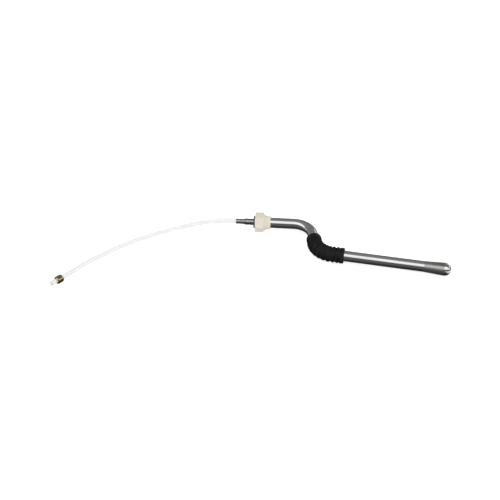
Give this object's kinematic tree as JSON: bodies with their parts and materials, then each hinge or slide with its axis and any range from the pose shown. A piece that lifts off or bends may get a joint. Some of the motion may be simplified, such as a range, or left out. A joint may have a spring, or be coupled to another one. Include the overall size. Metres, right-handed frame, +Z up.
{
  "type": "steam wand",
  "caption": "S-bent stainless steam wand with rubber grip, flared nozzle, captive plastic union nut and a free PTFE hose ending in a brass olive.",
  "frame": {"origin": "on the table, under the middle of the wand's box, the hose and olive left out", "axes": "+Z up from the table, +X from the hose end towards the nozzle along the tube's upper run, -Y towards the side where the nozzle lies"},
  "size_m": [0.3614, 0.113, 0.0171],
  "materials": {
    "polished_steel": "mirror polished",
    "nozzle_steel": "fine satin with a polished dome",
    "turned_steel": "turned",
    "black_rubber": "matte",
    "cream_plastic": "moulded, satin",
    "dark_gasket": "matte",
    "ptfe": "waxy, slightly translucent",
    "brass": "bright turned"
  },
  "bodies": {
    "wand": {"crimp_ferrule": "turned_steel", "crimp_insert": "turned_steel", "grip_sleeve": "black_rubber", "hose_end_insert": "ptfe", "hose_nipple": "turned_steel", "hose_seal": "ptfe", "hose_spacers": "ptfe", "inner_hose": "ptfe", "nozzle": "nozzle_steel", "nozzle_bush": "turned_steel", "nozzle_o_ring": "black_rubber", "olive": "brass", "seat_flange": "turned_steel", "seat_gasket": "dark_gasket", "steam_hose": "ptfe", "wand_tube": "polished_steel"},
    "washer": {"slip_washer": "turned_steel"},
    "nut": {"union_nut": "cream_plastic"}
  },
  "joints": [
    {"name": "nut_slide", "type": "slide", "parent": "wand", "child": "washer", "axis": [0.9999, 0, -0.0158], "range_m": [-0.0045, 0.0215]},
    {"name": "nut_spin", "type": "hinge", "parent": "washer", "child": "nut", "pos_m": [-0.07847, 0.02895, 0.00858], "axis": [0.9999, 0, -0.0158], "continuous": true}
  ]
}
